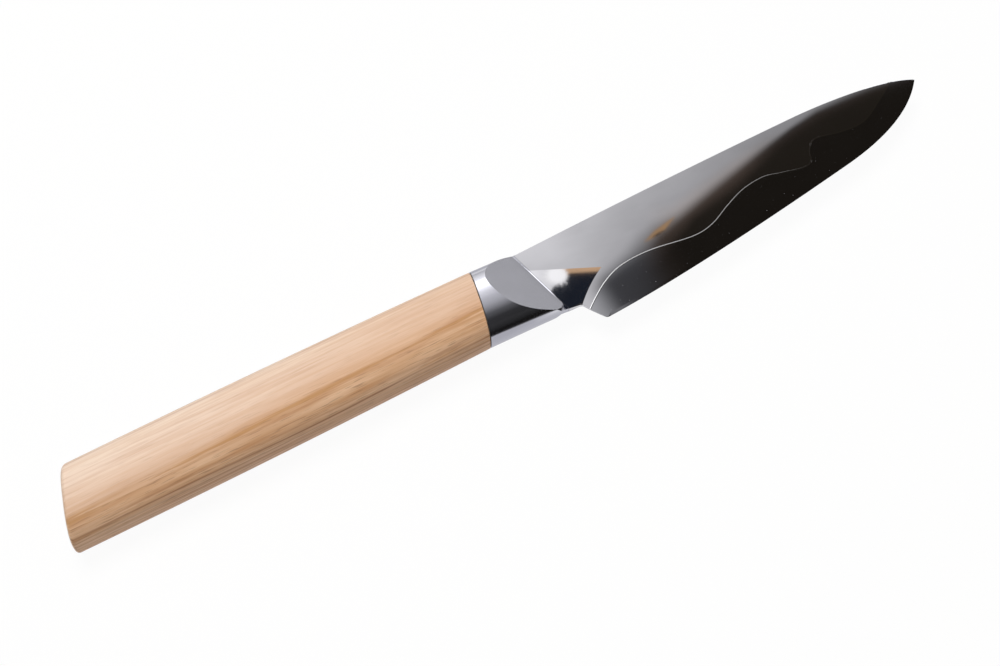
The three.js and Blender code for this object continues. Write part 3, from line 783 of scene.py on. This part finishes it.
# bolster: the joint's oval carried forward, with a flat leaf-shaped facet on either side that ends at the
# shoulder; rings count to 1 at the foot of the facet, and on to 2 across the hollow in front of it
collar = dict(
    jointHeight=handle["Joint Height"], jointWidth=handle["Joint Width"], ovalPower=handle["Oval Power"],
    jointAngle=handle["Joint Angle"], frontDrop=10.6, frontWidth=15.2, chinDrop=0.33, chinDropPower=8,
    facetAngle=30.0, edgeRounding=0.01, hollowRounding=0.11, hollowSharpening=0.96, flush=0.008,
    leafTip=18.9, leafReach=19.75, leafRounding=1.6, leafFall=1.6, leafSoftness=0.06,
    hollowStart=(3.0, 7.5), hollowEnd=(14.2, 16.4), sides=520, rings=136, ringsEnd=0.972,
    closeRings=[0.977, 0.982, 0.986, 0.99, 0.993, 0.996, 0.998, 0.999, 1.0],
    hollowRings=[1.03, 1.08, 1.15, 1.24, 1.36, 1.5, 1.66, 1.83, 2.0],
    settling=8, cutReach=1e-5, sharpFrom=14)


def smoothMin(a, c, radius):
    h = np.clip(0.5 + 0.5 * (c - a) / radius, 0, 1)
    return c * (1 - h) + a * h - radius * h * (1 - h)


def progress(value, limits):
    return np.clip((value - limits[0]) / (limits[1] - limits[0]), 0, 1)


def ovalRings(c):   # the points of the bolster's oval, ring after ring, before the facets are ground
    top, foot = shoulderTop, shoulderFoot
    front, half = foot[0] + b["hollow"], c["jointHeight"] / 2
    topFall = (half - top[1]) / top[0]
    footFall = (c["frontDrop"] - half) / foot[0]
    hollowAhead = ahead(top, (1, 0), b["hollow"] - b["gap"])[0] - top[0]
    closed = (b["hollowFoot"] - b["gap"]) / (b["hollow"] - b["gap"])
    runOutAt = ahead(runOut, -runOutLine, b["hollow"])[1]
    s = np.concatenate([np.linspace(0, c["ringsEnd"], c["rings"]), c["closeRings"], c["hollowRings"]])
    s, angle = np.meshgrid(s, np.linspace(0, 2 * np.pi, c["sides"], endpoint=False), indexing="ij")

    def bulge(value):
        return np.sign(value) * np.abs(value) ** (2 / c["ovalPower"])

    oval = bulge(np.cos(angle))
    y = oval * half
    for _ in range(c["settling"]):   # the ring that passes a point depends on its height, so settle both
        joint = slope(c["jointAngle"]) * y
        crease = top[0] + (y - top[1]) * alongShoulder[0] / alongShoulder[1]
        hollow = hollowAhead * np.interp(y, [foot[1], runOutAt], [closed, 1])
        x = joint + (crease - joint) * np.minimum(s, 1) + hollow * np.maximum(s - 1, 0)
        share = (x - joint) / (front - joint)
        high = half - topFall * share * front
        low = -half - footFall * share * front - c["chinDrop"] * share ** c["chinDropPower"]
        y = oval * (high - low) / 2 + (high + low) / 2
    width = c["jointWidth"] + (c["frontWidth"] - c["jointWidth"]) * share
    return np.stack([x, y, width / 2 * bulge(np.sin(angle))], -1)


def makeBolster(c):
    top, foot = shoulderTop, shoulderFoot
    points = ovalRings(c)
    rings, sides, _ = points.shape
    solid = bmesh.new()
    corners = [solid.verts.new(p) for p in points.reshape(-1, 3).tolist()]
    for start in range(0, (rings - 1) * sides, sides):
        for i in range(sides):
            j = (i + 1) % sides
            quad = (start + i, start + j, start + sides + j, start + sides + i)
            solid.faces.new([corners[k] for k in quad])
    solid.faces.new(corners[:sides])
    solid.faces.new(corners[-sides:])
    startTop = sideHeight(top)
    rise = alongShoulder * (facetHeight(foot) - startTop) / np.linalg.norm(foot - top)
    rise = rise + behindShoulder * slope(c["facetAngle"])
    for side in (1, -1):   # points along the line where each facet cuts the oval, so that its edge is crisp
        bmesh.ops.bisect_plane(
            solid, geom=solid.verts[:] + solid.edges[:] + solid.faces[:], dist=c["cutReach"],
            plane_co=(*top, side * startTop), plane_no=(*-rise, side))

    # press the sides down to the facet, the leaf's rounded end and the hollow
    x, y, z = np.array([v.co for v in solid.verts]).T
    plan = np.stack([x, y], -1)
    along, back = (plan - top) @ alongShoulder, (plan - top) @ behindShoulder
    facet = startTop + (plan - top) @ rise
    bend = np.clip(1 - back / c["leafRounding"], 0, 1)
    limit = c["leafReach"] - (c["leafReach"] - c["leafTip"]) * bend ** 2
    leaf = smoothMin(facet, facet - c["leafFall"] * (along - limit), c["leafSoftness"])
    sharper = np.maximum(progress(along, c["hollowEnd"]), 1 - progress(along, c["hollowStart"]))
    rounding = c["hollowRounding"] * (1 - c["hollowSharpening"] * sharper)
    flat = -smoothMin(-leaf, -facetHeight(plan) - c["flush"], rounding)
    upper = smoothMin(np.abs(z), flat, c["edgeRounding"])
    z = np.sign(z) * np.maximum(np.minimum(upper, np.abs(z)), 0)
    for vert, spot in zip(solid.verts, toFrame(np.stack([x, y, z], -1)).tolist()):
        vert.co = spot
    mesh = bpy.data.meshes.new("bolsterCollar")
    solid.to_mesh(mesh)
    solid.free()
    mesh.materials.append(metals["bolsterSteel"])
    weld(mesh, c["sharpFrom"])
    settle(newObject("bolsterCollar", mesh), "bolster")


makeBolster(collar)
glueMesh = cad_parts["handle_adhesive"].data
glueMesh.materials.clear()
glueMesh.materials.append(darkGlue)
print("bolster made")

# studio: a pale floor, a soft lamp, and cards that only the metal sees
studio = dict(floorTone="F0EFED", floorGlow=0.95, worldTone=0.28, floorSize=3.0)


def seenByEye(wire):   # camera, glossy and transmission rays
    path = wire.node("ShaderNodeLightPath").socket.node
    eye, glossy, through = (
        Wire(wire.tree, path.outputs[k]) for k in ("Is Camera Ray", "Is Glossy Ray", "Is Transmission Ray"))
    return eye.apply("MAXIMUM", glossy).apply("MAXIMUM", through)


def makeFloor(s):
    material, wire = newMaterial("paleFloor")
    matt = wire.node("ShaderNodeBsdfDiffuse", None, {"Color": colour(s["floorTone"])})
    wire.show(wire.mix(seenByEye(wire) * s["floorGlow"], matt, wire.glow(white)))
    half = s["floorSize"] / 2
    corners = [(-half, -half, 0), (half, -half, 0), (half, half, 0), (-half, half, 0)]
    newObject("floor", newMesh("floor", corners, [(0, 1, 2, 3)], material))


def makeWorld(s):
    world = bpy.data.worlds.new("studio")
    world.use_nodes = True
    world.node_tree.nodes.clear()
    wire = Wire(world.node_tree)
    level = s["worldTone"] + seenByEye(wire) * (1 - s["worldTone"])
    sky = wire.node("ShaderNodeBackground", None, {"Color": white, "Strength": level})
    wire.node("ShaderNodeOutputWorld", None, {"Surface": sky})
    scene.world = world


keyLamp = dict(place=(-50, 230, 870), aim=(0, 0, 0), size=420, power=7.1, tone=(1.0, 0.99, 0.975))


def makeLamp(name, s):
    lamp = bpy.data.lights.new(name, "AREA")
    lamp.energy, lamp.color, lamp.size = s["power"], s["tone"], s["size"] / 1000
    start, aim = Vector(toFrame(s["place"])), Vector(toFrame(s["aim"]))
    obj = newObject(name, lamp)
    obj.location = start
    obj.rotation_euler = (aim - start).to_track_quat("-Z", "Y").to_euler()
    obj.visible_glossy = False


def hang(name, points, faces, material):   # a sheet of the studio that only the metal sees
    mesh = newMesh(name, toFrame(points), faces, material)
    sheet = newObject(name, mesh)
    sheet.visible_camera = sheet.visible_diffuse = sheet.visible_shadow = sheet.visible_transmission = False
    return mesh


# the ceiling, brightest at the back and darker towards the tip and the camera
ceiling = dict(
    height=602, corners=[(-900, -1600), (1800, -1600), (1800, 1800), (-900, 1800)], top=2.4,
    even=(275, 400), cool=(0.98, 0.98, 1.0, 1), warm=(1.0, 0.935, 0.905, 1),
    across=[
        (150, 0.93), (180, 0.98), (195, 1.0), (205, 0.93), (220, 0.81), (232, 0.77), (250, 0.69),
        (270, 0.635), (300, 0.58), (330, 0.505), (360, 0.405), (430, 0.32)],
    away=[
        (-400, 0.05), (-147, 0.15), (-7, 0.40), (92, 0.60), (191, 0.76), (205, 0.74), (222, 0.785),
        (240, 0.89), (254, 1.03), (305, 1.34), (360, 1.7), (440, 2.4)])
# the dark half of the ceiling that the blade mirrors: the line where it begins, how soft that line is and
# how far on it gets its full depth
flag = dict(
    tone="26221D", rim="545457", brownRim="4D423B", brownSide=(236, 268), farRim="332C27",
    farSide=(322, 372), side=(198, 219), sideLean=0.06, dimFade=(-0.75, 0.6), deepen=(215, 275),
    deepFade=(0.1, 1.4), warmStart=(255, 285), warmEnd=(335, 385), warmFade=(-1.7, -0.3),
    edge=[
        (204, 200), (220, 203.2), (238, 207.4), (250, 210.8), (262, 215.2), (280, 217.2), (300, 222),
        (330, 228.8), (346, 232.3), (360, 235.4), (378, 239.0), (400, 242.0), (440, 241.2), (470, 238)],
    spread=[
        (220, 10), (238, 12), (250, 16), (268, 12), (280, 7.5), (314, 6.4), (346, 5.1), (378, 2.8),
        (408, 4.2), (440, 6.8)],
    depth=[(250, 16), (268, 12), (288, 7.4), (325, 9.5), (360, 7), (440, 6.5)])


def makeCeiling(c, f):
    material, wire = newMaterial("ceiling")
    x, y, _ = place(wire).split()
    across = x.ramp(c["across"])
    across = across + (1 - across) * y.smoothstep(*c["even"])
    level = y.ramp(c["away"]) * across
    past = x.ramp(f["edge"]) - y
    below = past / x.ramp(f["spread"])
    beside = (x + (y - f["edge"][0][1]) * f["sideLean"]).smoothstep(*f["side"])
    dim = below.smoothstep(*f["dimFade"]) * beside
    deep = (past / x.ramp(f["depth"])).smoothstep(*f["deepFade"]) * x.smoothstep(*f["deepen"])
    rim = wire.blend(x.smoothstep(*f["brownSide"]), colour(f["rim"]), colour(f["brownRim"]))
    rim = wire.blend(x.smoothstep(*f["farSide"]), rim, colour(f["farRim"]))
    near = below.smoothstep(*f["warmFade"])
    near = near * x.smoothstep(*f["warmStart"]) * (1 - x.smoothstep(*f["warmEnd"]))
    light = wire.blend(near, c["cool"], c["warm"])
    lit = wire.mix(level / c["top"], wire.glow(black), wire.glow(light, c["top"]))
    dark = wire.mix(deep, wire.glow(rim), wire.glow(colour(f["tone"])))
    wire.show(wire.mix(dim, lit, dark))
    hang("ceiling", [(x, y, c["height"]) for x, y in c["corners"]], [(0, 1, 2, 3)], material)


# cards with a soft rim; corners are where the blade, the neck and the bolster look
cards = dict(
    neckDark=dict(height=598, tone="1E232D", rim="3A3A40", soft=1.2, corners=[
        (228.3, 274.6), (246.5, 266.7), (256, 260), (224, 243), (200, 245), (200, 262), (208, 263),
        (210, 268), (214, 270.5)]),
    neckWarm=dict(height=599, tone="DDB68F", rim="B98A5E", soft=1.5, corners=[
        (226, 283.5), (256, 270.5), (256, 262), (226, 262)]),
    warmStreak=dict(height=598, tone="B59068", rim="9A8064", soft=1.0, corners=[
        (249.5, 210.7), (258, 210.7), (266, 212.0), (277, 217.2), (268, 216.0), (259, 214.3)]),
    darkStreak=dict(height=597, tone="2E241E", rim="4A3C32", soft=0.6, corners=[
        (254.5, 210.9), (260, 210.5), (267, 211.7), (260, 211.7)]),
    apron=dict(height=-8.6, tone="1C1B1A", rim="5A5958", soft=10, corners=[
        (-900, -32), (4, -32), (16, -27), (28, -22), (60, -20), (1200, -20), (1200, -1500), (-900, -1500)]),
    mat=dict(height=-8.7, tone="D2D2D6", rim="E6E6E8", soft=8, corners=[
        (-300, -60), (16, -60), (17, -18), (26, -16), (26, 60), (-300, 60)]))
# how much of the soft rim lies inside and outside the corners, and where on it tone and card fade in
cardRim = dict(inside=0.7, outside=0.3, toneFade=(0.25, 0.95), cardFade=(0.0, 0.36))


def makeCard(name, c, r):
    corners = np.array(c["corners"], float)
    out = outward(corners) * c["soft"]
    count = len(corners)
    plan = np.vstack([corners - out * r["inside"], corners + out * r["outside"]])
    points = np.column_stack([plan, np.full(2 * count, float(c["height"]))])
    ring = [[i, (i + 1) % count, count + (i + 1) % count, count + i] for i in range(count)]
    material, wire = newMaterial(name)
    share = wire.node("ShaderNodeAttribute", dict(attribute_name="cover"), None, "Fac")
    rim, tone = (wire.glow(colour(c[k]), c.get("glow", 1.0)) for k in ("rim", "tone"))
    lit = wire.mix(share.smoothstep(*r["toneFade"]), rim, tone)
    clear = wire.node("ShaderNodeBsdfTransparent")
    wire.show(wire.mix(share.smoothstep(*r["cardFade"]), clear, lit))
    mesh = hang(name, points, [list(range(count))] + ring, material)
    cover = mesh.attributes.new("cover", "FLOAT", "POINT")
    cover.data.foreach_set("value", np.repeat([1.0, 0.0], count).astype(np.float32))


# a round lamp that the neck mirrors, with a fringe of short rays behind it
lampSpot = dict(
    middle=(219.9, 276.6), size=(6.6, 6.2), rays=17, rayReach=(0.6, 4.6), rayNotch=-0.6, raySway=0.03,
    star=dict(height=597, tone="FFFFFF", rim="FFFFFF", glow=1.22, soft=0.3),
    disc=dict(height=596, tone="FFFFFF", rim="FFFFFF", glow=1.35, soft=1.6), discShare=0.85, seed=7)


def makeLampSpot(s):
    chance = np.random.default_rng(s["seed"])
    count = 2 * s["rays"]
    angle = np.linspace(0, 2 * np.pi, count, endpoint=False)
    angle = angle + chance.uniform(-s["raySway"], s["raySway"], count)
    disc = np.column_stack([np.cos(angle), np.sin(angle)]) * s["size"]
    reach = np.where(np.arange(count) % 2, chance.uniform(*s["rayReach"], count), s["rayNotch"])
    star = disc + unit(disc) * reach[:, None]
    makeCard("lampRays", dict(s["star"], corners=star + s["middle"]), cardRim)
    makeCard("lampSpot", dict(s["disc"], corners=disc * s["discShare"] + s["middle"]), cardRim)


# walls: levels are how bright each is at its foot and its top; the dark one is so between two soft ends
walls = dict(
    greyWall=dict(heights=(-8, 260), foot=[(860, -60), (800, 300), (560, 640)], levels=(0.505, 0.535)),
    backWall=dict(heights=(-8, 600), foot=[(560, 640), (200, 830), (-380, 780)], levels=(0.62, 1.45)),
    darkWall=dict(heights=(-8, 600), foot=[(-640, -900), (2400, -900)], levels=(0.02, 0.05), lighter=0.36,
                  darkStart=(-40, 100), darkEnd=(640, 1100)),
    sideWindow=dict(heights=(-8, 600), foot=[(-900, -100), (-900, -900), (-640, -900)], levels=(1.3, 1.3)))


def makeWall(name, c):
    material, wire = newMaterial(name)
    x, _, z = place(wire).split()
    top = max(c["levels"])
    level = z.ramp(list(zip(c["heights"], c["levels"])))
    if "lighter" in c:
        ends = (1 - x.smoothstep(*c["darkStart"])) + x.smoothstep(*c["darkEnd"])
        level = level + ends * c["lighter"]
        top += c["lighter"]
    wire.show(wire.mix(level / top, wire.glow(black), wire.glow(white, top)))
    count = len(c["foot"])
    points = [(x, y, height) for height in c["heights"] for x, y in c["foot"]]
    faces = [[i, i + 1, count + i + 1, count + i] for i in range(count - 1)]
    hang(name, points, faces, material)


makeFloor(studio)
makeWorld(studio)
makeLamp("key", keyLamp)
makeCeiling(ceiling, flag)
for name, c in cards.items():
    makeCard(name, c, cardRim)
makeLampSpot(lampSpot)
for name, c in walls.items():
    makeWall(name, c)
print("studio made")
